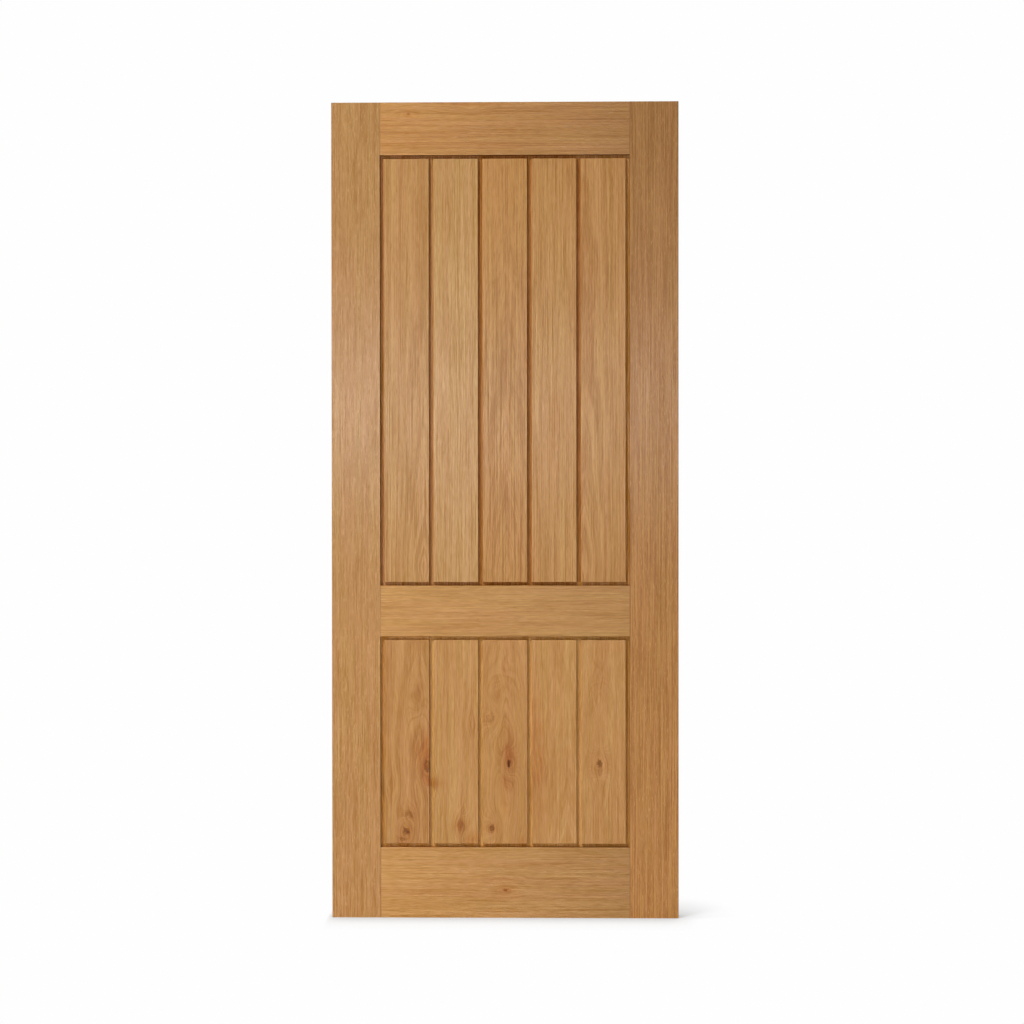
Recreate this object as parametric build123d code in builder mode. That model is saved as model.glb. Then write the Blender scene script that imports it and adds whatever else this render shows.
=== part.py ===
"""Framed and boarded oak door leaf.

Two stiles and three rails are joined by stub tongues and hidden dowels. The frame holds two
panels of upright tongue-and-groove boards, one above the middle rail and one below it. Each
board is thinned round its edge, so a square shadow groove runs between the boards and round
each panel, and both faces of the leaf are alike.

The frame of the model: X runs across the leaf, Y through its thickness with the front face
towards -Y, and Z up. The origin is at the middle of the bottom edge.
"""

import os

from build123d import *

os.makedirs("parts", exist_ok=True)

# Leaf
leaf_width = 864.0
leaf_height = 2032.0
leaf_thickness = 44.0

# Frame members, seen from the front
stile_width = 121.5
top_rail_width = 131.5
middle_rail_width = 127.0
bottom_rail_width = 176.0
lower_panel_height = 526.0
frame_arris = 1.0

# Boards, and the shadow grooves between them, down the panel's sides and along its ends
board_count = 5
panel_recess = 2.5
board_groove_width = 10.5
side_groove_width = 9.5
end_groove_width = 8.5
groove_depth = 8.0
board_arris = 0.8

# Tongues on boards and rails, and the ploughs that take them
tongue_thickness = 10.0
board_tongue_length = 10.0
rail_tongue_length = 12.0
plough_depth = 12.5
tongue_play = 0.15
seam_gap = 0.3

# Dowels
dowel_diameter = 16.0
dowel_length = 120.0
dowel_end_space = 1.0
dowel_glue_gap = 0.1
dowel_flutes = 10
flute_size = 1.4
top_joint_dowels = 2
middle_joint_dowels = 2
bottom_joint_dowels = 3
dowel_edge_margin = 24.0

# Heights of the rails' edges
bottom_rail_top = bottom_rail_width
middle_rail_bottom = bottom_rail_top + lower_panel_height
middle_rail_top = middle_rail_bottom + middle_rail_width
top_rail_bottom = leaf_height - top_rail_width

# Widths and thicknesses that follow
opening_width = leaf_width - 2 * stile_width
shoulder_x = opening_width / 2
plough_width = tongue_thickness + 2 * tongue_play
board_thickness = leaf_thickness - 2 * panel_recess
margin_thickness = board_thickness - 2 * groove_depth
panel_face_width = opening_width - 2 * side_groove_width
board_pitch = (panel_face_width + board_groove_width) / board_count
board_face_width = board_pitch - board_groove_width
dowel_hole_radius = dowel_diameter / 2 + dowel_glue_gap
dowel_hole_depth = dowel_length / 2 + dowel_end_space

panels = {
    "lower": (bottom_rail_top, middle_rail_bottom),
    "upper": (middle_rail_top, top_rail_bottom),
}


def dowel_heights(tongue_bottom, tongue_top, count):
    """Heights of a joint's dowels, spread evenly over the rail's tongue."""
    first = tongue_bottom + dowel_edge_margin
    last = tongue_top - dowel_edge_margin
    return [first + (last - first) * i / (count - 1) for i in range(count)]


# Each rail: its lower edge, its upper edge, and where its end tongue starts and stops. The
# tongue stops short of each edge that is ploughed for a panel.
rails = {
    "bottom": (0.0, bottom_rail_top, 0.0, bottom_rail_top - plough_depth),
    "middle": (
        middle_rail_bottom,
        middle_rail_top,
        middle_rail_bottom + plough_depth,
        middle_rail_top - plough_depth,
    ),
    "top": (top_rail_bottom, leaf_height, top_rail_bottom + plough_depth, leaf_height),
}
joint_dowels = {
    "bottom": dowel_heights(*rails["bottom"][2:], bottom_joint_dowels),
    "middle": dowel_heights(*rails["middle"][2:], middle_joint_dowels),
    "top": dowel_heights(*rails["top"][2:], top_joint_dowels),
}
all_dowel_heights = [z for heights in joint_dowels.values() for z in heights]


def save(piece, name):
    """Names a finished piece and writes its file."""
    piece.label = name
    export_step(piece, f"parts/{name}.step")


# The softened edge round both openings, as one cutting tool for every frame member. It is
# wider than the opening by the arris at the leaf's face and as wide as the opening below it.
with BuildPart() as opening_arris:
    for bottom, top in panels.values():
        for face in (Plane.XZ, -Plane.XZ):
            with BuildSketch(face.offset(leaf_thickness / 2)):
                with Locations((0, (bottom + top) / 2)):
                    Rectangle(opening_width + 2 * frame_arris, top - bottom + 2 * frame_arris)
            extrude(amount=-frame_arris, taper=45)

# Left stile: a moulded section run over the whole height, with the plough in its inner edge
stile_centre = -shoulder_x - stile_width / 2
with BuildPart() as left_stile:
    with BuildSketch():
        with Locations((stile_centre, 0)):
            Rectangle(stile_width, leaf_thickness)
        chamfer(vertices().group_by(Axis.X)[0], frame_arris)
        with Locations((-shoulder_x - plough_depth / 2, 0)):
            Rectangle(plough_depth, plough_width, mode=Mode.SUBTRACT)
    extrude(amount=leaf_height)
    for height in all_dowel_heights:
        with Locations(Plane(origin=(-shoulder_x, 0, height), z_dir=(1, 0, 0))):
            Hole(dowel_hole_radius, dowel_hole_depth)
    add(opening_arris.part, mode=Mode.SUBTRACT)
save(left_stile.part, "left_stile")

with BuildPart() as right_stile:
    mirror(left_stile.part, about=Plane.YZ)
save(right_stile.part, "right_stile")

# Rails: a section ploughed on each edge that holds a panel, with a stub tongue at both ends
for name, (bottom, top, tongue_bottom, tongue_top) in rails.items():
    with BuildPart() as rail:
        with BuildSketch(Plane.YZ):
            with Locations((0, (bottom + top) / 2)):
                Rectangle(leaf_thickness, top - bottom)
            if tongue_bottom > bottom:
                with Locations((0, bottom + plough_depth / 2)):
                    Rectangle(plough_width, plough_depth, mode=Mode.SUBTRACT)
            if tongue_top < top:
                with Locations((0, top - plough_depth / 2)):
                    Rectangle(plough_width, plough_depth, mode=Mode.SUBTRACT)
        extrude(amount=shoulder_x, both=True)
        with BuildSketch(Plane.YZ):
            with Locations((0, (tongue_bottom + tongue_top) / 2)):
                Rectangle(tongue_thickness, tongue_top - tongue_bottom)
        extrude(amount=shoulder_x + rail_tongue_length, both=True)
        for side in (-1, 1):
            for height in joint_dowels[name]:
                mouth = Plane(
                    origin=(side * (shoulder_x + rail_tongue_length), 0, height),
                    z_dir=(side, 0, 0),
                )
                with Locations(mouth):
                    Hole(dowel_hole_radius, dowel_hole_depth + rail_tongue_length)
        add(opening_arris.part, mode=Mode.SUBTRACT)
    save(rail.part, f"{name}_rail")

# Boards: a tongue-and-groove section run over the height, cut to the stepped outline that the
# board has from the side, so that its ends are thinned and tongued as its long edges are
for panel, (bottom, top) in panels.items():
    for number in range(1, board_count + 1):
        first, last = number == 1, number == board_count
        face_left = -panel_face_width / 2 + (number - 1) * board_pitch
        face_right = face_left + board_face_width
        face_centre = (face_left + face_right) / 2
        margin_left = face_left + seam_gap - (side_groove_width if first else board_groove_width)
        margin_right = face_right + side_groove_width - seam_gap if last else face_right
        tongue_left = margin_left - board_tongue_length
        tongue_right = margin_right + board_tongue_length if last else face_right
        margin_top = top - seam_gap

        with BuildPart() as board:
            with BuildSketch():
                with Locations((face_centre, 0)):
                    Rectangle(board_face_width, board_thickness)
                chamfer(vertices(), board_arris)
                with Locations(((margin_left + margin_right) / 2, 0)):
                    Rectangle(margin_right - margin_left, margin_thickness)
                with Locations(((tongue_left + tongue_right) / 2, 0)):
                    Rectangle(tongue_right - tongue_left, tongue_thickness)
                if not last:
                    with Locations((face_right - plough_depth / 2, 0)):
                        Rectangle(plough_depth, plough_width, mode=Mode.SUBTRACT)
            extrude(amount=leaf_height)
            with BuildSketch(Plane.YZ.offset(tongue_left)):
                with Locations((0, (bottom + top) / 2)):
                    Rectangle(board_thickness, top - bottom - 2 * end_groove_width)
                chamfer(vertices(), board_arris)
                with Locations((0, (bottom + margin_top) / 2)):
                    Rectangle(margin_thickness, margin_top - bottom)
                    Rectangle(tongue_thickness, margin_top - bottom + 2 * board_tongue_length)
            extrude(amount=tongue_right - tongue_left, mode=Mode.INTERSECT)
        save(board.part, f"{panel}_board_{number}")

# Dowels: lengths of fluted beech rod, half in the rail and half in the stile, one group for
# each joint. The flutes let air and spare glue out of the hole.
with BuildPart() as dowel:
    with BuildSketch(Plane.YZ):
        Circle(dowel_diameter / 2)
        with PolarLocations(dowel_diameter / 2, dowel_flutes):
            Rectangle(flute_size, flute_size, rotation=45, mode=Mode.SUBTRACT)
    extrude(amount=dowel_length / 2, both=True)

for name, heights in joint_dowels.items():
    for side, side_name in ((-1, "left"), (1, "right")):
        with BuildPart() as dowel_group:
            with Locations(*[(side * shoulder_x, 0, height) for height in heights]):
                add(dowel.part)
        save(dowel_group.part, f"{name}_{side_name}_dowels")
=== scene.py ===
"""Framed and boarded oak door leaf, standing in a plain white studio."""

import math

import bpy
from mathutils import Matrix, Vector


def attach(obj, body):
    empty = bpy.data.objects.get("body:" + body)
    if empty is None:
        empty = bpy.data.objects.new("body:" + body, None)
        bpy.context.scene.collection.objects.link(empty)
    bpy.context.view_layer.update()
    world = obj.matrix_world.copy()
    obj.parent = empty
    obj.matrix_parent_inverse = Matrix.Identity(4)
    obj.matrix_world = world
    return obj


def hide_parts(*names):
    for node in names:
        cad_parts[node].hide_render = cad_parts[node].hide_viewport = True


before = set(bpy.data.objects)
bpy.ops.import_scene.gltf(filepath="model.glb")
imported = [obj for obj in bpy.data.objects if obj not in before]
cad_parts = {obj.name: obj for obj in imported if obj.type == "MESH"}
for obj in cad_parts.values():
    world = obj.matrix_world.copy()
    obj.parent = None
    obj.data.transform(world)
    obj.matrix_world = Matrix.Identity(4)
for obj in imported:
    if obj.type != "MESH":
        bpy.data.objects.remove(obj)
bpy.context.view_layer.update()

# ---------------------------------------------------------------------------------------------
# Camera: a long lens about five metres off, a little to the right of the leaf's middle and
# near half its height, so that the leaf is seen almost square on
# ---------------------------------------------------------------------------------------------
camera_distance = 5.0
camera_right = 0.110
camera_height = 1.055
camera_yaw = math.radians(1.062)
camera_pitch = math.radians(-0.489)
camera_roll = math.radians(0.051)
lens_length = 70.29
farthest_seen = 60.0

camera_data = bpy.data.cameras.new("camera")
camera_data.lens = lens_length
camera_data.clip_end = farthest_seen
camera = bpy.data.objects.new("camera", camera_data)
camera.rotation_euler = (math.pi / 2 + camera_pitch, camera_roll, camera_yaw)
camera.location = (camera_right, -camera_distance, camera_height)
bpy.context.scene.collection.objects.link(camera)
bpy.context.scene.camera = camera
bpy.context.scene.view_settings.view_transform = "Standard"


# ---------------------------------------------------------------------------------------------
# Studio: a white floor and a white surround. One soft lamp stands high on the left in front of
# the leaf, a wide low one near the camera gives the lacquer its broad sheen, and a third lights
# the back. The floor's shadow is kept near the leaf's foot and fades to white round it, and a
# painted contact shadow dims the floor's glow close to the foot.
# ---------------------------------------------------------------------------------------------
class Shading:
    """Adds nodes to a tree and joins them. An input may be given a value or another socket."""

    def __init__(self, tree):
        self.tree = tree

    def node(self, kind, inputs=None, **settings):
        made = self.tree.nodes.new(kind)
        for name, value in settings.items():
            setattr(made, name, value)
        for name, value in (inputs or {}).items():
            self.feed(made.inputs[name], value)
        return made

    def feed(self, socket, value):
        if isinstance(value, bpy.types.NodeSocket):
            self.tree.links.new(value, socket)
        elif socket.type == "RGBA":
            socket.default_value = (*value[:3], 1.0)
        else:
            socket.default_value = value

    def math(self, operation, *values, clamp=False):
        made = self.node("ShaderNodeMath", operation=operation, use_clamp=clamp)
        for socket, value in zip(made.inputs, values):
            self.feed(socket, value)
        return made.outputs[0]

    def span(self, value, low, high, to_low=0.0, to_high=1.0, smooth=True):
        """The value's place between low and high, as a number from to_low to to_high."""
        ends = {"From Min": low, "From Max": high, "To Min": to_low, "To Max": to_high}
        way = "SMOOTHSTEP" if smooth else "LINEAR"
        made = self.node("ShaderNodeMapRange", {"Value": value, **ends}, interpolation_type=way)
        return made.outputs["Result"]

    def swing(self, base, pattern, reach):
        """The base, moved up or down by a pattern that runs from nothing to one."""
        return self.math("MULTIPLY_ADD", self.math("SUBTRACT", pattern, 0.5), reach, base)

    def axes(self, place):
        return self.node("ShaderNodeSeparateXYZ", {0: place}).outputs

    def point(self, x=0.0, y=0.0, z=0.0):
        return self.node("ShaderNodeCombineXYZ", {0: x, 1: y, 2: z}).outputs[0]

    def moved(self, place, step):
        return self.node("ShaderNodeVectorMath", {0: place, 1: step}, operation="ADD").outputs[0]

    def scaled(self, place, factor):
        """A place times one number, or times one number for each direction."""
        if isinstance(factor, tuple):
            inputs, operation = {0: place, 1: factor}, "MULTIPLY"
        else:
            inputs, operation = {0: place, "Scale": factor}, "SCALE"
        return self.node("ShaderNodeVectorMath", inputs, operation=operation).outputs[0]

    def noise(self, place, detail, output=0, **settings):
        """A noise whose grains are one unit wide. In one dimension its place is a number."""
        name = "W" if settings.get("noise_dimensions") == "1D" else "Vector"
        inputs = {name: place, "Scale": 1.0, "Detail": detail}
        return self.node("ShaderNodeTexNoise", inputs, **settings).outputs[output]

    def blend(self, share, first, second, mode="MIX"):
        """The first colour with a share of the second one, mixed in or multiplied in."""
        made = self.node("ShaderNodeMix", {"Factor": share}, data_type="RGBA", blend_type=mode)
        self.feed(made.inputs[6], first)
        self.feed(made.inputs[7], second)
        return made.outputs[2]

    def mixed(self, share, first, second):
        return self.node("ShaderNodeMixShader", {0: share, 1: first, 2: second}).outputs[0]

    def seen(self):
        """One for a ray that shows a surface or its mirror image, nothing for one that lights."""
        rays = self.node("ShaderNodeLightPath").outputs
        straight = self.math("MAXIMUM", rays["Is Camera Ray"], rays["Is Glossy Ray"])
        return self.math("MAXIMUM", straight, rays["Is Transmission Ray"])


def fresh(block):
    """Clears the node tree of a new material or world, ready for its own nodes."""
    block.use_nodes = True
    block.node_tree.nodes.clear()
    return Shading(block.node_tree)


studio_white = (0.991, 0.991, 0.991)
floor_reach = 9.0
floor_grey = 0.85
floor_lit_share = 0.22
floor_glow, crease_glow = 0.73, 0.44
crease_reach, deepest_crease = 0.09, 0.45
shadow_reach = 0.17
left_fade, right_fade_in_front, back_fade = 10.0, 3.0, 0.7
front_zone = 0.05
half_width, half_thickness = 0.432, 0.022

floor_finish = bpy.data.materials.new("studio_floor")
s = fresh(floor_finish)
matt = s.node("ShaderNodeBsdfDiffuse", {"Color": (floor_grey,) * 3}).outputs[0]
lit = s.node("ShaderNodeBsdfDiffuse", {"Color": (floor_lit_share,) * 3}).outputs[0]
# Painted shadow: the floor's glow dims where the leaf's foot is near, a contact shadow.
crease = s.node("ShaderNodeAmbientOcclusion", {"Distance": crease_reach}, samples=8).outputs["AO"]
glow = s.span(crease, deepest_crease, 1.0, crease_glow, floor_glow, smooth=False)
glow = s.node("ShaderNodeEmission", {"Color": studio_white, "Strength": glow}).outputs[0]
near_leaf = s.node("ShaderNodeAddShader", {0: lit, 1: glow}).outputs[0]
white = s.node("ShaderNodeEmission", {"Color": studio_white, "Strength": 1.0}).outputs[0]
place = s.axes(s.node("ShaderNodeTexCoord").outputs["Object"])
right_fade = s.span(place[1], -front_zone, 0.0, right_fade_in_front, 1.0)
past_right = s.math("MULTIPLY", s.math("SUBTRACT", place[0], half_width), right_fade)
past_left = s.math("MULTIPLY", s.math("ADD", place[0], half_width), -left_fade)
past_side = s.math("MAXIMUM", s.math("MAXIMUM", past_right, past_left), 0.0)
past_front = s.math("MULTIPLY_ADD", place[1], -1.0, -half_thickness)
past_back = s.math("MULTIPLY", s.math("SUBTRACT", place[1], half_thickness), back_fade)
past_face = s.math("MAXIMUM", s.math("MAXIMUM", past_front, past_back), 0.0)
from_foot = s.math("MULTIPLY_ADD", past_side, past_side, s.math("MULTIPLY", past_face, past_face))
fade = s.span(s.math("SQRT", from_foot), 0.0, shadow_reach)
floor_mix = s.mixed(s.seen(), matt, s.mixed(fade, near_leaf, white))
s.node("ShaderNodeOutputMaterial", {"Surface": floor_mix})

floor_mesh = bpy.data.meshes.new("studio_floor")
floor_mesh.from_pydata(
    [(x * floor_reach, y * floor_reach, 0.0) for x, y in ((-1, -1), (1, -1), (1, 1), (-1, 1))],
    [],
    [(0, 1, 2, 3)],
)
floor_mesh.materials.append(floor_finish)
floor = bpy.data.objects.new("studio_floor", floor_mesh)
bpy.context.scene.collection.objects.link(floor)

surround_light = 0.15
world = bpy.data.worlds.new("studio")
bpy.context.scene.world = world
s = fresh(world)
ambient = s.node("ShaderNodeBackground", {"Color": (1.0, 1.0, 1.0), "Strength": surround_light})
backdrop = s.node("ShaderNodeBackground", {"Color": studio_white, "Strength": 1.0})
surround = s.mixed(s.seen(), ambient.outputs[0], backdrop.outputs[0])
s.node("ShaderNodeOutputWorld", {"Surface": surround})

lamps = {
    "key_lamp": {
        "place": (-3.0, -3.4, 5.6),
        "aim": (0.0, -0.6, -0.4),
        "size": (1.8, 1.8),
        "watts": 86.0,
        "spread": math.radians(80),
    },
    "front_lamp": {
        "place": (-0.4, -4.2, 1.46),
        "aim": (0.0, 0.0, 1.3),
        "size": (2.2, 0.6),
        "watts": 23.0,
        "spread": math.radians(180),
    },
    "back_lamp": {
        "place": (1.4, 4.2, 2.4),
        "aim": (0.0, 0.0, 1.0),
        "size": (1.8, 1.8),
        "watts": 22.0,
        "spread": math.radians(80),
    },
}
for name, lamp in lamps.items():
    lamp_data = bpy.data.lights.new(name, "AREA")
    lamp_data.shape = "RECTANGLE"
    lamp_data.size, lamp_data.size_y = lamp["size"]
    lamp_data.energy = lamp["watts"]
    lamp_data.spread = lamp["spread"]
    lamp_object = bpy.data.objects.new(name, lamp_data)
    lamp_object.location = lamp["place"]
    towards = Vector(lamp["aim"]) - Vector(lamp["place"])
    lamp_object.rotation_euler = towards.to_track_quat("-Z", "Y").to_euler()
    bpy.context.scene.collection.objects.link(lamp_object)


# ---------------------------------------------------------------------------------------------
# Stiles: two upright lengths of straight-grained oak, planed square and finished with a satin
# lacquer. Each has a plough down its inner edge and stopped holes for the dowels.
# ---------------------------------------------------------------------------------------------
def group_sockets(tree, ins, outs):
    """Gives a node group its named inputs, with their usual values, and its named outputs."""
    kinds = {float: "Float", int: "Int", bool: "Bool", tuple: "Vector", type(None): "Material"}
    for name, value in ins.items():
        kind = "NodeSocket" + ("Color" if name.endswith("Colour") else kinds[type(value)])
        made = tree.interface.new_socket(name, in_out="INPUT", socket_type=kind)
        if value is not None:
            made.default_value = value
    for name, kind in outs.items():
        tree.interface.new_socket(name, in_out="OUTPUT", socket_type="NodeSocket" + kind)


def labelled(**values):
    """Values under the names of a group's inputs, such as "Ring Tone" for ring_tone."""
    return {name.replace("_", " ").title(): value for name, value in values.items()}


# How oak looks. Yearly rings lie round the tree's heart, which is outside the piece or a little
# behind its face, and where it comes nearer the face the rings close in arches. Streaks follow
# the rings, and fibres, flecks, rays and pores the grain, with slow changes of tone and hue. A
# steady darkening along the piece is painted shade. The floors and walls of the shadow grooves
# get painted shade and painted light, since little light gets in.
plain = (1.0, 1.0, 1.0, 1.0)
oak_figure = bpy.data.node_groups.new("oak_figure", "ShaderNodeTree")
group_sockets(
    oak_figure,
    {
        "Position": (0.0, 0.0, 0.0),
        "Facing": (0.0, 0.0, 0.0),
        "Colour": plain,
        "Heart Across": 0.3,
        "Heart Depth": 0.06,
        "Arch Foot": 0.0,
        "Arch Rise": 0.02,
        "Arch Length": 9.0,
        "Arch Spread": 0.05,
        "Ring Width": 0.012,
        "Seed": 0.0,
        "Ring Tone": 0.16,
        "Streak Tone": 0.6,
        "Fibre Tone": 2.0,
        "Fleck Tone": 1.1,
        "Band Tone": 0.4,
        "Ray Tone": 0.0,
        "Patch Tone": 0.33,
        "Middle Along": 1.0,
        "Shade Along": 0.0,
        "Floor Colour": plain,
        "Wall Colour": plain,
        "Rim Colour": plain,
        "Groove Edge": 0.0196,
        "Groove Gloss": 0.0,
        "Panel Side": 9.0,
        "Panel Bottom": -9.0,
        "Panel Top": 9.0,
        "Inside": 1.0,
        "Satin": 0.41,
        "Ring Lift": 0.0,
        "Knot": 0.0,
        "Halo": 0.0,
    },
    {"Colour": "Color", "Roughness": "Float", "Gloss": "Float", "Height": "Float"},
)
s = Shading(oak_figure)
given = s.node("NodeGroupInput").outputs
across_grain, through, along_grain = s.axes(given["Position"])
seed_step = (3.1, 1.7, 5.3)
shift = s.scaled(seed_step, given["Seed"])


def grained(across, along, detail, output=0):
    """A noise with this many grains to the metre across the grain and along it."""
    place = s.moved(s.scaled(given["Position"], (across, across, along)), shift)
    return s.noise(place, detail, output)


# Rings: how far a place lies from the heart, in rings
ring_power = 1.25
heart_wander, depth_wander = 0.010, 0.016
wander = s.node("ShaderNodeSeparateColor", {0: grained(14.0, 4.0, 2.0, output=1)}).outputs
from_heart = s.math("SUBTRACT", across_grain, given["Heart Across"])
from_heart = s.swing(from_heart, wander[0], heart_wander)
above_foot = s.math("MAXIMUM", s.math("SUBTRACT", along_grain, given["Arch Foot"]), 0.0)
up_arch = s.math("DIVIDE", above_foot, given["Arch Length"])
climbed = s.math("SUBTRACT", 1.0, s.math("EXPONENT", s.math("MULTIPLY", up_arch, -1.0)))
climbed = s.math("MULTIPLY", climbed, s.math("MULTIPLY", given["Arch Rise"], given["Arch Length"]))
depth = s.math("ADD", s.math("ADD", climbed, given["Heart Depth"]), through)
depth = s.swing(depth, wander[1], depth_wander)
sideways = s.math("DIVIDE", from_heart, given["Arch Spread"])
depth = s.math("DIVIDE", depth, s.math("MULTIPLY_ADD", sideways, sideways, 1.0))
radius = 0.0
for distance in (from_heart, depth):
    radius = s.math("ADD", radius, s.math("POWER", s.math("ABSOLUTE", distance), ring_power))
radius = s.math("POWER", radius, 1.0 / ring_power)
ring = s.math("ADD", s.math("DIVIDE", radius, given["Ring Width"]), given["Ring Lift"])

# Patterns, each from nothing to one
rings_per_seed = 17.0
streaks_per_ring, streaks_through, streaks_along = 8.0, 60.0, 20.0
ring_seeded = s.math("MULTIPLY_ADD", given["Seed"], rings_per_seed, ring)
ring_band = s.span(s.noise(ring_seeded, 2.0, noise_dimensions="1D"), 0.35, 0.65)
along_ring = s.point(ring, through, along_grain)
along_ring = s.scaled(along_ring, (streaks_per_ring, streaks_through, streaks_along))
streak = s.noise(s.moved(along_ring, shift), 2.0)
fibre = grained(850.0, 5.0, 1.0)
fleck = grained(600.0, 42.0, 1.0)
band = grained(75.0, 5.0, 1.0)
hue = s.span(grained(55.0, 2.5, 2.0), 0.35, 0.65)
ray = s.span(grained(330.0, 70.0, 1.0), 0.60, 0.72)
pore = s.span(grained(900.0, 55.0, 1.0), 0.62, 0.72)
open_pore = s.math("MULTIPLY", pore, s.math("MULTIPLY_ADD", ring_band, 0.7, 0.3))

# Colour of the plain wood
pore_tone = -0.12
dark_grain, pale_grain = (0.755, 0.63, 0.20), (1.245, 1.37, 1.80)
golden, rosy = (0.995, 1.012, 0.97), (1.005, 0.975, 1.03)
tone = 0.5
for pattern, share in (
    (ring_band, "Ring Tone"),
    (streak, "Streak Tone"),
    (fibre, "Fibre Tone"),
    (fleck, "Fleck Tone"),
    (band, "Band Tone"),
    (wander[2], "Patch Tone"),
):
    tone = s.swing(tone, pattern, given[share])
tone = s.math("MULTIPLY_ADD", ray, given["Ray Tone"], tone)
tone = s.math("MULTIPLY_ADD", open_pore, pore_tone, tone, clamp=True)
wood = s.blend(1.0, given["Colour"], s.blend(tone, dark_grain, pale_grain), "MULTIPLY")
wood = s.blend(1.0, wood, s.blend(hue, golden, rosy), "MULTIPLY")
# Painted shade: the colour darkens steadily along each piece, towards the top of a stile and the
# right of a rail, for the lamps' light falling off.
off_middle = s.math("SUBTRACT", along_grain, given["Middle Along"])
wood = s.scaled(wood, s.math("MULTIPLY_ADD", off_middle, given["Shade Along"], 1.0))

# Shadow grooves, told apart by how far a place lies from the middle of the thickness: the floor
# first, then the wall up to the groove's edge. The rim is the groove beside the frame. Their
# colours are painted light and shade: the walls get painted shade, and the floors and rims get
# painted light in some places and painted shade in others, for how much of the lamps' light
# reaches in.
groove_blur = 0.0012
floor_until, wall_from = 0.0117, 0.0124
from_middle = s.math("ABSOLUTE", through)
groove_start = s.math("SUBTRACT", given["Groove Edge"], groove_blur)
in_groove = s.span(from_middle, groove_start, given["Groove Edge"], 1.0, 0.0)
in_groove = s.math("MULTIPLY", in_groove, given["Inside"])
at_floor = s.span(from_middle, floor_until, wall_from, 1.0, 0.0)
past_bottom = s.math("SUBTRACT", given["Panel Bottom"], along_grain)
past_top = s.math("SUBTRACT", along_grain, given["Panel Top"])
past_side = s.math("SUBTRACT", s.math("ABSOLUTE", across_grain), given["Panel Side"])
past_face = s.math("MAXIMUM", s.math("MAXIMUM", past_bottom, past_top), past_side)
on_rim = s.math("GREATER_THAN", past_face, 0.0)
groove_colour = s.blend(on_rim, given["Floor Colour"], given["Rim Colour"])
groove_colour = s.blend(at_floor, given["Wall Colour"], groove_colour)
wood = s.blend(in_groove, wood, groove_colour, "MULTIPLY")

# Knots with their stains, and end grain, which takes more of the finish
halo_tint, knot_tint = (0.80, 0.55, 0.20), (0.20, 0.09, 0.02)
end_grain_brown, end_grain_share = (0.16, 0.075, 0.03), 0.3
wood = s.blend(given["Halo"], wood, halo_tint, "MULTIPLY")
wood = s.blend(given["Knot"], wood, knot_tint, "MULTIPLY")
end_grain = s.span(s.math("ABSOLUTE", s.axes(given["Facing"])[2]), 0.8, 0.95)
wood = s.blend(s.math("MULTIPLY", end_grain, end_grain_share), wood, end_grain_brown)

# Lacquer: pale fibres shine a little more, end grain, knots and grooves less
fibre_satin, end_grain_satin = -0.24, 0.2
usual_gloss, knot_gloss = 0.5, -0.8
fibre_height, pore_height = 0.5, -0.6
satin = s.math("MULTIPLY_ADD", fibre, fibre_satin, given["Satin"])
satin = s.math("MULTIPLY_ADD", end_grain, end_grain_satin, satin)
floor_gloss = s.math("MULTIPLY", given["Groove Gloss"], s.math("SUBTRACT", 1.0, on_rim))
gloss = s.math("MULTIPLY_ADD", at_floor, floor_gloss, -usual_gloss)
gloss = s.math("MULTIPLY_ADD", in_groove, gloss, usual_gloss)
gloss = s.math("MULTIPLY", gloss, s.math("MULTIPLY_ADD", given["Knot"], knot_gloss, 1.0))
height = s.math("MULTIPLY", fibre, fibre_height)
height = s.math("MULTIPLY_ADD", open_pore, pore_height, height)
s.node("NodeGroupOutput", {"Colour": wood, "Roughness": satin, "Gloss": gloss, "Height": height})

upright = (0.0, 0.0, 0.0)
lying = (0.0, -math.pi / 2, 0.0)
shoulder_x = 0.3105
leaf_height = 2.032
outer_edge = 0.002
seam_colour, seam_share = (0.12, 0.05, 0.02), 0.35
seam_line, seam_blur = 0.0004, 0.0016
relief, relief_height = 0.8, 0.0005


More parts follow.
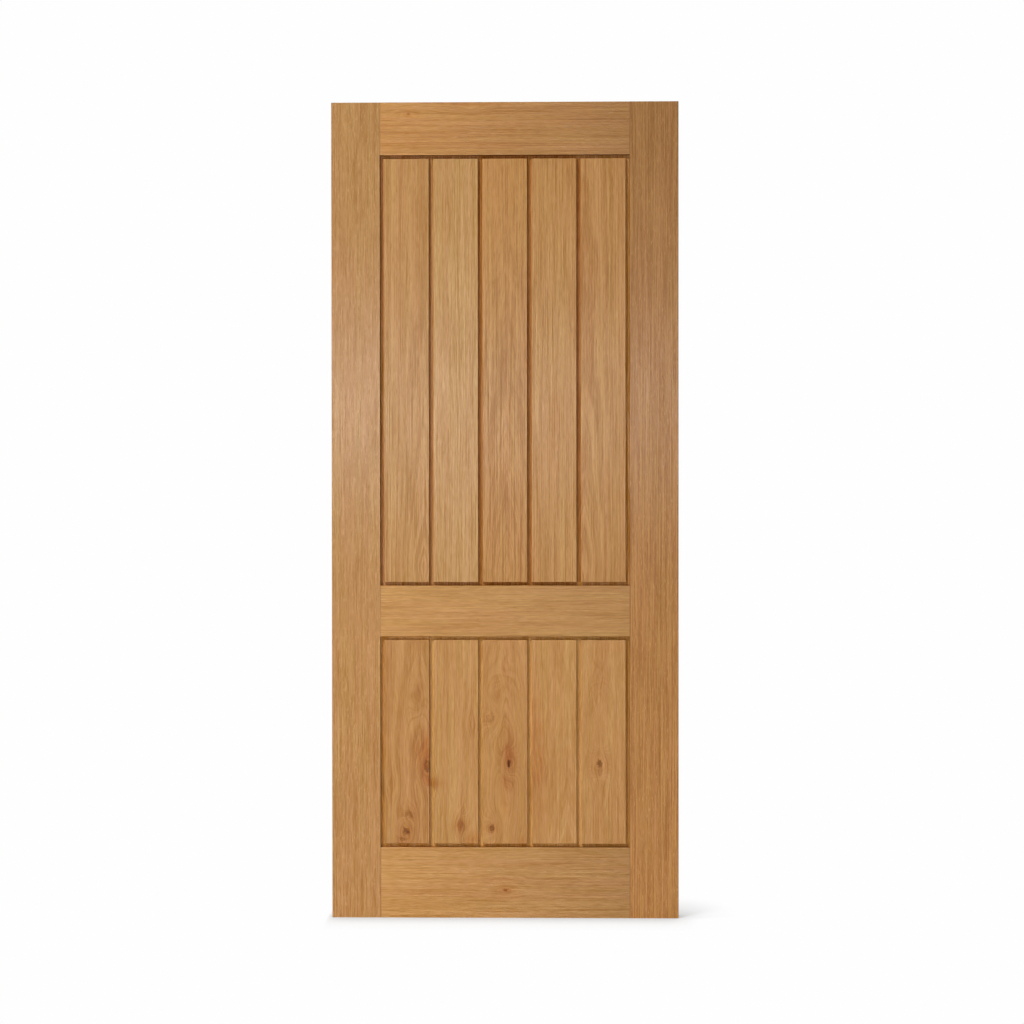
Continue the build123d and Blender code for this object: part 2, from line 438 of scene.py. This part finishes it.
def oak_material(name, figure, turn=upright, seam=False, knots=()):
    """Lacquered oak with its grain up the piece, or along it where the pattern lies turned."""
    material = bpy.data.materials.new(name)
    s = fresh(material)
    place = s.node("ShaderNodeTexCoord").outputs
    position = s.node("ShaderNodeMapping", {"Vector": place["Object"], "Rotation": turn}).outputs[0]
    facing = s.node("ShaderNodeMapping", {"Vector": place["Normal"], "Rotation": turn}).outputs[0]
    on_leaf = s.axes(place["Object"])
    from_centre = s.math("ABSOLUTE", on_leaf[0])
    from_side = s.math("SUBTRACT", half_width, from_centre)
    from_end = s.math("MINIMUM", on_leaf[2], s.math("SUBTRACT", leaf_height, on_leaf[2]))
    # Inside: away from the leaf's outer edges, so the grooves' painted shade stays off them.
    inside = s.math("GREATER_THAN", s.math("MINIMUM", from_side, from_end), outer_edge)
    bent = {"Position": position, "Ring Lift": 0.0, "Knot": 0.0, "Halo": 0.0}
    for knot_values in knots:
        made = s.node("ShaderNodeGroup", node_tree=bpy.data.node_groups["oak_knot"])
        for key, value in {**bent, **knot_values}.items():
            s.feed(made.inputs[key], value)
        bent = {key: made.outputs[key] for key in bent}
    oak = s.node("ShaderNodeGroup", node_tree=oak_figure)
    for key, value in {**figure, **bent, "Facing": facing, "Inside": inside}.items():
        s.feed(oak.inputs[key], value)
    colour = oak.outputs["Colour"]
    if seam:
        from_seam = s.math("ABSOLUTE", s.math("SUBTRACT", from_centre, shoulder_x))
        line = s.span(from_seam, seam_line, seam_blur, seam_share, 0.0)
        colour = s.blend(line, colour, seam_colour)
    bump = s.node(
        "ShaderNodeBump",
        {"Strength": relief, "Distance": relief_height, "Height": oak.outputs["Height"]},
    )
    finish = s.node(
        "ShaderNodeBsdfPrincipled",
        {
            "Base Color": colour,
            "Roughness": oak.outputs["Roughness"],
            "Specular IOR Level": oak.outputs["Gloss"],
            "Normal": bump.outputs[0],
        },
    )
    s.node("ShaderNodeOutputMaterial", {"Surface": finish.outputs[0]})
    return material


def dress(node_name, material):
    """Gives a frame member its material. Its shape stays as it is."""
    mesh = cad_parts[node_name].data
    mesh.materials.clear()
    mesh.materials.append(material)


# Where the stiles' inner edges form the walls of the shadow grooves, their colour is painted shade.
stile_look = labelled(satin=0.368, streak_tone=0.4, wall_colour=(0.56, 0.32, 0.15))
# The right stile's colour is darker than the left's, partly its own tone and partly painted shade
# for the light falling off across the leaf.
stile_figures = {
    "left_stile": labelled(
        colour=(0.433, 0.210, 0.054), heart_across=-0.75, seed=1.0, ray_tone=0.35,
        fibre_tone=2.2, shade_along=-0.05, groove_edge=0.0216,
    ),
    "right_stile": labelled(
        colour=(0.387, 0.168, 0.033), heart_across=0.72, seed=2.0, ray_tone=0.5,
        fibre_tone=3.2, shade_along=-0.13, groove_edge=0.0208,
    ),
}
for name, figure in stile_figures.items():
    dress(name, oak_material(name, {**stile_look, **figure}, seam=True))

# ---------------------------------------------------------------------------------------------
# Rails: three lengths of oak between the stiles, grain along the leaf's width, with a stub
# tongue and dowels in each end. The bottom rail has one small knot near its middle, and the top
# rail a smaller one near its left end.
# ---------------------------------------------------------------------------------------------
oak_knot = bpy.data.node_groups.new("oak_knot", "ShaderNodeTree")
group_sockets(
    oak_knot,
    {
        "Position": (0.0, 0.0, 0.0),
        "Ring Lift": 0.0,
        "Knot": 0.0,
        "Halo": 0.0,
        "Across": 0.0,
        "Along": 0.0,
        "Width": 0.004,
        "Length": 0.006,
        "Lean": 0.2,
        "Darkness": 0.6,
        "Fill": 0.6,
        "Bend": 0.020,
        "Reach": 0.035,
        "Rise": 3.0,
        "Halo Width": 0.016,
        "Halo Length": 0.03,
        "Halo Offset": 0.0,
        "Halo Depth": 0.35,
    },
    {"Position": "Vector", "Ring Lift": "Float", "Knot": "Float", "Halo": "Float"},
)
s = Shading(oak_knot)
given = s.node("NodeGroupInput").outputs
front_face_y = -0.022
across_grain, through, along_grain = s.axes(given["Position"])
sideways = s.math("SUBTRACT", across_grain, given["Across"])
leant = s.math("MULTIPLY", s.math("SUBTRACT", through, front_face_y), given["Lean"])
upwards = s.math("SUBTRACT", s.math("SUBTRACT", along_grain, given["Along"]), leant)


def squares(*pairs):
    """The sum of the squares of distances, each as a share of its own reach."""
    total = 0.0
    for distance, reach in pairs:
        ratio = s.math("DIVIDE", distance, reach)
        total = s.math("MULTIPLY_ADD", ratio, ratio, total)
    return total


def fall_off(*pairs):
    """One at the middle of a knot, and towards nothing as the distances exceed their reaches."""
    return s.math("EXPONENT", s.math("MULTIPLY", squares(*pairs), -1.0))


# The grain bends round a knot: places beside it are read nearer to it, and the rings rise
grain_pull, lift_spread = -0.85, 1.2
squeeze = fall_off((sideways, given["Bend"]), (upwards, given["Reach"]))
pulled = s.math("MULTIPLY", s.math("MULTIPLY", sideways, squeeze), grain_pull)
position = s.point(s.math("ADD", across_grain, pulled), through, along_grain)
lift_width = s.math("MULTIPLY", given["Bend"], lift_spread)
lift = fall_off((sideways, lift_width), (upwards, given["Reach"]))
lift = s.math("MULTIPLY", lift, given["Rise"])

# The knot itself, with a ragged edge and a darker rim, and the brown stain in the wood round it
edge_grain, edge_rag = 190.0, 2.3
rim_radius, rim_share = 0.9, 0.8
ragged = s.noise(s.scaled(given["Position"], edge_grain), 2.0)
from_core = s.math("SQRT", squares((sideways, given["Width"]), (upwards, given["Length"])))
from_core = s.swing(from_core, ragged, edge_rag)
inside = s.math("MULTIPLY", s.span(from_core, 0.6, 1.3, 1.0, 0.0), given["Fill"])
from_rim = s.math("ABSOLUTE", s.math("SUBTRACT", from_core, rim_radius))
rim = s.span(from_rim, 0.05, 0.45, rim_share, 0.0)
core = s.math("MULTIPLY", s.math("MAXIMUM", inside, rim), given["Darkness"])
core = s.math("MULTIPLY", core, s.span(ragged, 0.3, 0.6, 0.6, 1.0))
stain_streaks = s.noise(s.scaled(given["Position"], (160.0, 160.0, 24.0)), 2.0)
halo_height = s.math("SUBTRACT", upwards, given["Halo Offset"])
halo = fall_off((sideways, given["Halo Width"]), (halo_height, given["Halo Length"]))
halo = s.math("MULTIPLY", halo, given["Halo Depth"])
halo = s.math("MULTIPLY", halo, s.span(stain_streaks, 0.25, 0.75, 0.5, 1.5))
s.node(
    "NodeGroupOutput",
    {
        "Position": position,
        "Ring Lift": s.math("ADD", given["Ring Lift"], lift),
        "Knot": s.math("MAXIMUM", given["Knot"], core),
        "Halo": s.math("MAXIMUM", given["Halo"], halo),
    },
)


def knot(across, along, **values):
    """A knot by its place, across the grain and along it, and what is its own about it."""
    return labelled(across=across, along=along, **values)


def stain(across, along, width, length, depth, rise=0.0):
    """A brown stain with no knot in it, and a bend of the rings where they rise there."""
    halo = {"halo_width": width, "halo_length": length, "halo_depth": depth}
    return knot(across, along, darkness=0.0, rise=rise, **halo)


# Where the rails' inner edges form the walls of the shadow grooves, their colour is painted shade.
rail_look = labelled(
    streak_tone=0.4, wall_colour=(0.47, 0.27, 0.12), groove_edge=0.0212, middle_along=0.0
)
rail_figures = {
    "top_rail": labelled(
        colour=(0.433, 0.197, 0.044), heart_across=-2.4, seed=3.0, shade_along=-0.55
    ),
    "middle_rail": labelled(
        colour=(0.449, 0.215, 0.047), heart_across=-1.4, seed=4.0, shade_along=-0.3
    ),
    "bottom_rail": labelled(
        colour=(0.463, 0.228, 0.060), heart_across=-0.4, seed=5.0, shade_along=-0.45
    ),
}
rail_knots = {
    "top_rail": [
        knot(
            -2.003, -0.240, width=0.0025, length=0.003, darkness=0.6, rise=2.0, bend=0.012,
            halo_width=0.012, halo_length=0.02, halo_depth=0.45,
        ),
        stain(-2.027, -0.08, 0.004, 0.09, 0.5),
    ],
    "bottom_rail": [
        knot(
            -0.069, 0.001, width=0.003, length=0.004, darkness=0.75, bend=0.018, reach=0.05,
            rise=2.5, halo_width=0.010, halo_length=0.016, halo_depth=1.4,
        ),
        knot(
            -0.0915, -0.0115, darkness=0.0, rise=2.0, bend=0.014, reach=0.045,
            halo_width=0.008, halo_length=0.03, halo_depth=0.3,
        ),
    ],
}
for name, figure in rail_figures.items():
    knots = rail_knots.get(name, ())
    dress(name, oak_material(name, {**rail_look, **figure}, turn=lying, seam=True, knots=knots))

# ---------------------------------------------------------------------------------------------
# Boards: ten upright tongue-and-groove boards of figured oak, five in each panel. Each one is
# thinned round its edge to make the shadow grooves, and its arrises are rubbed round.
# ---------------------------------------------------------------------------------------------
board_count = 5
opening_width = 2 * shoulder_x
side_groove_width = 0.0095
board_groove_width = 0.0105
end_groove_width = 0.0085
board_pitch = (opening_width - 2 * side_groove_width + board_groove_width) / board_count
board_face_width = board_pitch - board_groove_width
seam_gap = 0.0003
board_tongue_length = 0.010
panel_edges = {"lower": (0.176, 0.702), "upper": (0.829, 1.9005)}
board_arrises = {"lower": 0.0014, "upper": 0.0010}
arris_steps = 3
# A board's margin and tongue stop just behind its ploughed edge, so that no two faces coincide
tuck = 0.0001
# A cutting block runs past what it cuts, and points closer than this are one
spare = 0.02
same_point = 0.000002

board_tree = bpy.data.node_groups.new("tongued_board", "GeometryNodeTree")
board_tree.is_modifier = True
group_sockets(
    board_tree,
    {
        "Face Left": 0.0,
        "Face Right": 0.1,
        "Margin Left": 0.0,
        "Margin Right": 0.1,
        "Tongue Left": 0.0,
        "Tongue Right": 0.1,
        "Panel Bottom": 0.0,
        "Panel Top": 1.0,
        "Board Thickness": 0.039,
        "Margin Thickness": 0.023,
        "Tongue Thickness": 0.010,
        "Tongue Length": board_tongue_length,
        "End Groove": end_groove_width,
        "Seam Gap": seam_gap,
        "Plough Depth": 0.0125,
        "Plough Width": 0.0103,
        "Arris": 0.0010,
        "Ploughed": False,
        "Checked": False,
        "Check Place": (0.0, 0.0, 0.0),
        "Check Size": (0.001, 0.001, 0.001),
        "Material": None,
    },
    {"Geometry": "Geometry"},
)
g = Shading(board_tree)
given = g.node("NodeGroupInput").outputs


def middle(low, high):
    return g.math("MULTIPLY", g.math("ADD", low, high), 0.5)


def placed(geometry, **where):
    return g.node("GeometryNodeTransform", {"Geometry": geometry, **where}).outputs[0]


def block(left, right, thickness, bottom, top):
    """A plain block between two places across, and two heights, centred in the thickness."""
    size = g.point(g.math("SUBTRACT", right, left), thickness, g.math("SUBTRACT", top, bottom))
    cube = g.node("GeometryNodeMeshCube", {"Size": size}).outputs["Mesh"]
    return placed(cube, Translation=g.point(middle(left, right), 0.0, middle(bottom, top)))


def rounded_bar(width, height, length):
    """An upright bar with its four long edges rubbed round: its section run along a line."""
    section = g.node("GeometryNodeCurvePrimitiveQuadrilateral", {"Width": width, "Height": height})
    rounded = g.node(
        "GeometryNodeFilletCurve",
        {"Curve": section.outputs[0], "Radius": given["Arris"], "Count": arris_steps},
        mode="POLY",
    )
    half = g.math("MULTIPLY", length, 0.5)
    foot = g.point(z=g.math("MULTIPLY", half, -1.0))
    path = g.node("GeometryNodeCurvePrimitiveLine", {"Start": foot, "End": g.point(z=half)})
    return g.node(
        "GeometryNodeCurveToMesh",
        {"Curve": path.outputs[0], "Profile Curve": rounded.outputs[0], "Fill Caps": True},
    ).outputs[0]


def joined(operation, *parts):
    """Solids added together, cut to what they share, or the first one less the second."""
    made = g.node("GeometryNodeMeshBoolean", operation=operation, solver="EXACT")
    if operation == "DIFFERENCE":
        g.feed(made.inputs["Mesh 1"], parts[0])
        parts = parts[1:]
    for part in reversed(parts):
        g.feed(made.inputs["Mesh 2"], part)
    return made.outputs[0]


def less(when, solid, cutter):
    """The solid, less the cutter where the board has such a cut."""
    ways = {"Switch": given[when], "False": solid, "True": joined("DIFFERENCE", solid, cutter)}
    return g.node("GeometryNodeSwitch", ways, input_type="GEOMETRY").outputs[0]


def end_tree(geometry):
    """Ends a tree with real meshes in the given material, which is what the export needs."""
    real = g.node("GeometryNodeRealizeInstances", {"Geometry": geometry}).outputs[0]
    dressed = {"Geometry": real, "Material": given["Material"]}
    finished = g.node("GeometryNodeSetMaterial", dressed).outputs[0]
    g.node("NodeGroupOutput", {"Geometry": finished})


face_bottom = g.math("ADD", given["Panel Bottom"], given["End Groove"])
face_top = g.math("SUBTRACT", given["Panel Top"], given["End Groove"])
margin_top = g.math("SUBTRACT", given["Panel Top"], given["Seam Gap"])
face_width = g.math("SUBTRACT", given["Face Right"], given["Face Left"])
face_height = g.math("SUBTRACT", face_top, face_bottom)
thickness = given["Board Thickness"]
upright_bar = rounded_bar(face_width, thickness, g.math("ADD", face_height, spare))
across_bar = rounded_bar(face_height, thickness, g.math("ADD", face_width, spare))
across_bar = placed(across_bar, Rotation=(0.0, math.pi / 2, 0.0))
face_middle = middle(given["Face Left"], given["Face Right"])
face_block = placed(
    joined("INTERSECT", upright_bar, across_bar),
    Translation=g.point(face_middle, 0.0, middle(face_bottom, face_top)),
)
margin_block = block(
    given["Margin Left"],
    given["Margin Right"],
    given["Margin Thickness"],
    given["Panel Bottom"],
    margin_top,
)
tongue_block = block(
    given["Tongue Left"],
    given["Tongue Right"],
    given["Tongue Thickness"],
    g.math("SUBTRACT", given["Panel Bottom"], given["Tongue Length"]),
    g.math("ADD", margin_top, given["Tongue Length"]),
)
plough = block(
    g.math("SUBTRACT", given["Face Right"], given["Plough Depth"]),
    g.math("ADD", given["Face Right"], spare),
    given["Plough Width"],
    g.math("SUBTRACT", given["Panel Bottom"], spare),
    g.math("ADD", given["Panel Top"], spare),
)
ball = g.node("GeometryNodeMeshIcoSphere", {"Radius": 1.0, "Subdivisions": 3}).outputs[0]
check = placed(ball, Translation=given["Check Place"], Scale=given["Check Size"])
board = less("Ploughed", joined("UNION", face_block, margin_block, tongue_block), plough)
board = less("Checked", board, check)
closed = {"Geometry": board, "Distance": same_point}
board = g.node("GeometryNodeMergeByDistance", closed).outputs[0]
flat = {"Geometry": board, "Shade Smooth": False}
end_tree(g.node("GeometryNodeSetShadeSmooth", flat).outputs[0])


def grown(name, tree, values):
    """Runs a tree of geometry nodes once with these inputs, and keeps the result as a mesh."""
    maker = bpy.data.objects.new(name + "_maker", bpy.data.meshes.new(name + "_maker"))
    bpy.context.scene.collection.objects.link(maker)
    modifier = maker.modifiers.new(name, "NODES")
    modifier.node_group = tree
    for item in tree.interface.items_tree:
        if item.in_out == "INPUT" and item.name in values:
            modifier[item.identifier] = values[item.name]
    evaluated = maker.evaluated_get(bpy.context.evaluated_depsgraph_get())
    mesh = bpy.data.meshes.new_from_object(evaluated)
    maker.modifiers.remove(modifier)
    bpy.data.objects.remove(maker)
    mesh.name = name
    piece = bpy.data.objects.new(name, mesh)
    bpy.context.scene.collection.objects.link(piece)
    return piece


# The look of each panel's boards and grooves, with the grooves' painted light and shade. A
# panel's first and last boards have rims of their own painted light and shade, because one side
# groove faces the lamp and the other lies in the stile's shadow.
panel_looks = {
    "lower": labelled(
        fibre_tone=1.6, fleck_tone=0.9, groove_edge=0.0186, groove_gloss=0.26,
        floor_colour=(1.25, 1.40, 1.42), wall_colour=(1.10, 0.74, 0.40),
    ),
    "upper": labelled(
        fibre_tone=2.8, fleck_tone=1.1, groove_edge=0.0196, groove_gloss=0.06,
        floor_colour=(0.98, 0.87, 0.93), wall_colour=(0.82, 0.45, 0.26),
    ),
}
rim_colours = {
    "lower": ((1.70, 1.80, 2.15), (1.42, 1.50, 1.62), (1.26, 1.31, 1.35)),
    "upper": ((1.37, 1.35, 1.81), (1.10, 0.94, 1.04), (1.47, 1.52, 2.14)),
}
first_seeds = {"lower": 16.0, "upper": 11.0}

# Each board's own figure. The straight ones were cut far from the tree's heart, and the ones
# with arches near it. The places across and along are those on the leaf.
board_figures = {
    "upper_1": labelled(
        colour=(0.441, 0.215, 0.054), heart_across=-0.203, heart_depth=0.008, arch_foot=0.829,
        arch_rise=0.26, arch_length=0.26, arch_spread=0.045, ring_width=0.008, ring_tone=0.44,
    ),
    "upper_2": labelled(colour=(0.470, 0.247, 0.071), heart_across=-0.60),
    "upper_3": labelled(
        colour=(0.422, 0.192, 0.038), heart_across=0.004, heart_depth=0.008, arch_foot=0.829,
        arch_rise=0.30, arch_length=0.32, arch_spread=0.06, ring_width=0.008, ring_tone=0.40,
    ),
    "upper_4": labelled(colour=(0.445, 0.213, 0.049), heart_across=0.65),
    "upper_5": labelled(
        colour=(0.434, 0.203, 0.046), heart_across=0.199, heart_depth=0.008, arch_foot=0.829,
        arch_rise=0.24, arch_length=0.28, arch_spread=0.045, ring_width=0.008, ring_tone=0.44,
    ),
    "lower_1": labelled(
        colour=(0.452, 0.211, 0.052), heart_across=-0.215, heart_depth=0.02, arch_foot=0.42,
        arch_rise=0.35, arch_length=0.2, ring_tone=0.34,
    ),
    "lower_2": labelled(colour=(0.478, 0.235, 0.061), heart_across=-0.45),
    "lower_3": labelled(
        colour=(0.456, 0.212, 0.050), heart_across=-0.004, heart_depth=0.02, arch_foot=0.44,
        arch_rise=0.40, arch_length=0.2, ring_tone=0.36,
    ),
    "lower_4": labelled(
        colour=(0.489, 0.241, 0.064), heart_across=0.155, heart_depth=0.03, arch_foot=0.176,
        arch_rise=0.30, arch_length=0.12, ring_tone=0.22,
    ),
    "lower_5": labelled(
        colour=(0.466, 0.222, 0.055), heart_across=0.236, heart_depth=0.03, arch_foot=0.44,
        arch_rise=0.25, arch_length=0.15, ring_tone=0.26,
    ),
}
board_knots = {
    "lower_1": [
        stain(-0.218, 0.563, 0.006, 0.018, 0.5, rise=1.0),
        knot(
            -0.2215, 0.523, width=0.008, length=0.010, darkness=0.08, fill=0.2, rise=1.2,
            halo_depth=0.0,
        ),
        knot(
            -0.194, 0.377, width=0.0065, length=0.014, darkness=0.85, fill=0.45, bend=0.026,
            rise=4.0, halo_width=0.030, halo_length=0.065, halo_offset=0.02, halo_depth=1.2,
        ),
        stain(-0.190, 0.345, 0.020, 0.020, 1.1),
        stain(-0.285, 0.33, 0.012, 0.08, 0.3),
        knot(
            -0.239, 0.2555, width=0.010, length=0.008, darkness=0.35, fill=0.2, rise=2.0,
            halo_width=0.025, halo_length=0.030, halo_depth=0.5,
        ),
        knot(
            -0.2456, 0.2155, width=0.006, length=0.007, darkness=0.85,
            halo_width=0.020, halo_length=0.020, halo_depth=0.8,
        ),
        knot(
            -0.2526, 0.1955, width=0.005, length=0.004, darkness=0.75, rise=1.0,
            halo_width=0.020, halo_length=0.015, halo_depth=0.6,
        ),
    ],
    "lower_2": [
        stain(-0.184, 0.333, 0.032, 0.013, 0.8, rise=2.0),
        stain(-0.079, 0.481, 0.010, 0.020, 0.35, rise=0.5),
        knot(
            -0.110, 0.228, width=0.009, length=0.012, darkness=0.28, fill=0.6,
            halo_width=0.018, halo_length=0.020, halo_depth=0.9,
        ),
        stain(-0.082, 0.195, 0.018, 0.022, 0.9),
    ],
    "lower_3": [
        stain(-0.002, 0.620, 0.005, 0.03, 0.4, rise=1.0),
        stain(-0.018, 0.560, 0.007, 0.03, 0.5),
        knot(
            -0.037, 0.4986, width=0.009, length=0.010, darkness=0.35, fill=0.3, rise=2.0,
            halo_width=0.020, halo_length=0.020, halo_depth=0.35,
        ),
        knot(
            0.0093, 0.385, width=0.0042, length=0.010, darkness=0.85, fill=0.9, bend=0.022,
            rise=4.0, halo_width=0.018, halo_length=0.050, halo_offset=0.02, halo_depth=0.9,
        ),
        stain(0.004, 0.335, 0.018, 0.030, 0.6),
        stain(0.0, 0.280, 0.009, 0.040, 0.5),
        knot(
            -0.0335, 0.223, width=0.005, length=0.008, darkness=0.85,
            halo_width=0.015, halo_length=0.015, halo_depth=0.8,
        ),
        stain(0.045, 0.190, 0.014, 0.014, 0.5),
    ],
    "lower_4": [stain(0.082, 0.385, 0.022, 0.18, 0.7)],
    "lower_5": [
        stain(0.234, 0.602, 0.004, 0.022, 0.35, rise=1.0),
        knot(
            0.2353, 0.3855, width=0.006, length=0.0085, darkness=0.8, fill=0.7, bend=0.024,
            rise=4.0, halo_width=0.020, halo_length=0.030, halo_depth=0.35,
        ),
        knot(
            0.2360, 0.3640, width=0.002, length=0.010, darkness=0.4, rise=0.0, halo_depth=0.0
        ),
    ],
}
# The one knot that has opened: a small check in the face, cut out of the board
board_checks = {
    "lower_3": labelled(
        checked=True, check_place=(0.0093, -0.0195, 0.385), check_size=(0.0011, 0.003, 0.009)
    ),
}
for panel, (panel_bottom, panel_top) in panel_edges.items():
    for number in range(1, board_count + 1):
        first, last = number == 1, number == board_count
        key = f"{panel}_{number}"
        name = f"{panel}_board_{number}"
        figure = {
            **panel_looks[panel],
            **board_figures[key],
            **labelled(
                seed=first_seeds[panel] + number - 1,
                rim_colour=rim_colours[panel][0 if first else 2 if last else 1],
                panel_side=shoulder_x - side_groove_width,
                panel_bottom=panel_bottom + end_groove_width,
                panel_top=panel_top - end_groove_width,
            ),
        }
        face_left = -shoulder_x + side_groove_width + (number - 1) * board_pitch
        face_right = face_left + board_face_width
        groove_left = side_groove_width if first else board_groove_width
        margin_left = face_left + seam_gap - groove_left
        margin_right = face_right + side_groove_width - seam_gap if last else face_right - tuck
        tongue_right = margin_right + board_tongue_length if last else margin_right - tuck
        sizes = labelled(
            face_left=face_left,
            face_right=face_right,
            margin_left=margin_left,
            margin_right=margin_right,
            tongue_left=margin_left - board_tongue_length,
            tongue_right=tongue_right,
            panel_bottom=panel_bottom,
            panel_top=panel_top,
            arris=board_arrises[panel],
            ploughed=not last,
            material=oak_material(f"oak_{name}", figure, knots=board_knots.get(key, ())),
        )
        board = grown(f"oak_{name}", board_tree, {**sizes, **board_checks.get(key, {})})
        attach(board, "root")
        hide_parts(name)

# ---------------------------------------------------------------------------------------------
# Dowels: fluted beech pins with bevelled ends, glued half in the rail and half in the stile.
# They don't show once the leaf is together.
# ---------------------------------------------------------------------------------------------
dark_beech, pale_beech, fleck_brown = (0.52, 0.33, 0.18), (0.68, 0.47, 0.29), (0.42, 0.24, 0.12)
bare_wood = 0.62

beech = bpy.data.materials.new("beech")
s = fresh(beech)
place = s.node("ShaderNodeTexCoord").outputs["Object"]
grain = s.noise(s.scaled(place, (25.0, 420.0, 420.0)), 3.0)
fleck = s.noise(s.scaled(place, (300.0, 1200.0, 1200.0)), 1.0)
colour = s.blend(s.span(grain, 0.3, 0.7), dark_beech, pale_beech)
colour = s.blend(s.span(fleck, 0.62, 0.70, 0.0, 0.5), colour, fleck_brown)
bump = s.node("ShaderNodeBump", {"Strength": 0.3, "Distance": 0.0002, "Height": grain}).outputs[0]
finish = s.node(
    "ShaderNodeBsdfPrincipled", {"Base Color": colour, "Roughness": bare_wood, "Normal": bump}
)
s.node("ShaderNodeOutputMaterial", {"Surface": finish.outputs[0]})

dowel_tree = bpy.data.node_groups.new("fluted_dowels", "GeometryNodeTree")
dowel_tree.is_modifier = True
group_sockets(
    dowel_tree,
    {
        "Joint Across": 0.0,
        "First Height": 0.0,
        "Spacing": 0.1,
        "Radius": 0.008,
        "Flute Depth": 0.00099,
        "Length": 0.120,
        "Bevel": 0.002,
        "Count": 1,
        "Flutes": 10,
        "Material": None,
    },
    {"Geometry": "Geometry"},
)
g = Shading(dowel_tree)
given = g.node("NodeGroupInput").outputs
steps_per_flute = 8.0
notch_walls = -5.0
tip_share = 0.82

# The section: a circle with a narrow notch in the middle of each flute's share of it
steps = g.math("MULTIPLY", given["Flutes"], steps_per_flute)
circle = g.node("GeometryNodeCurvePrimitiveCircle", {"Resolution": steps, "Radius": 1.0})
round_rod = g.node("GeometryNodeSplineParameter").outputs["Factor"]
round_rod = g.math("FRACT", g.math("MULTIPLY", round_rod, given["Flutes"]))
from_flute = g.math("ABSOLUTE", g.math("SUBTRACT", round_rod, 0.5))
notch = g.math("MAXIMUM", g.math("MULTIPLY_ADD", from_flute, notch_walls, 1.0), 0.0)
reach = g.math("SUBTRACT", given["Radius"], g.math("MULTIPLY", notch, given["Flute Depth"]))
fluted = g.scaled(g.node("GeometryNodeInputPosition").outputs[0], reach)
section = g.node(
    "GeometryNodeSetPosition", {"Geometry": circle.outputs[0], "Position": fluted}
).outputs[0]

# The rod: four points on a line, the inner two drawn in by the bevel, the outer two narrower
ends = {"Start": (-1.0, 0.0, 0.0), "End": (1.0, 0.0, 0.0)}
line = g.node("GeometryNodeCurvePrimitiveLine", ends).outputs[0]
line = g.node("GeometryNodeResampleCurve", {"Curve": line, "Count": 4}).outputs[0]
along_rod = g.math("SUBTRACT", g.node("GeometryNodeSplineParameter").outputs["Factor"], 0.5)
inner = g.math("LESS_THAN", g.math("ABSOLUTE", along_rod), 0.4)
half_length = g.math("MULTIPLY", given["Length"], 0.5)
half_length = g.math("SUBTRACT", half_length, g.math("MULTIPLY", inner, given["Bevel"]))
along_rod = g.point(g.math("MULTIPLY", g.math("SIGN", along_rod), half_length))
rod = g.node("GeometryNodeSetPosition", {"Geometry": line, "Position": along_rod}).outputs[0]
girth = g.math("MULTIPLY_ADD", inner, 1.0 - tip_share, tip_share)
pin = g.node(
    "GeometryNodeCurveToMesh",
    {"Curve": rod, "Profile Curve": section, "Scale": girth, "Fill Caps": True},
).outputs[0]
heights = g.node(
    "GeometryNodeMeshLine",
    {
        "Count": given["Count"],
        "Start Location": g.point(given["Joint Across"], 0.0, given["First Height"]),
        "Offset": g.point(z=given["Spacing"]),
    },
).outputs[0]
pins = g.node("GeometryNodeInstanceOnPoints", {"Points": heights, "Instance": pin}).outputs[0]
end_tree(pins)

dowel_edge_margin = 0.024
rail_tongues = {
    "bottom": (0.0, 0.1635, 3),
    "middle": (0.7145, 0.8165, 2),
    "top": (1.913, 2.032, 2),
}
for rail, (tongue_bottom, tongue_top, count) in rail_tongues.items():
    for side, side_name in ((-1, "left"), (1, "right")):
        name = f"{rail}_{side_name}_dowels"
        sizes = labelled(
            joint_across=side * shoulder_x,
            first_height=tongue_bottom + dowel_edge_margin,
            spacing=(tongue_top - tongue_bottom - 2 * dowel_edge_margin) / (count - 1),
            count=count,
            material=beech,
        )
        dowels = grown(f"beech_{name}", dowel_tree, sizes)
        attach(dowels, "root")
        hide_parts(name)
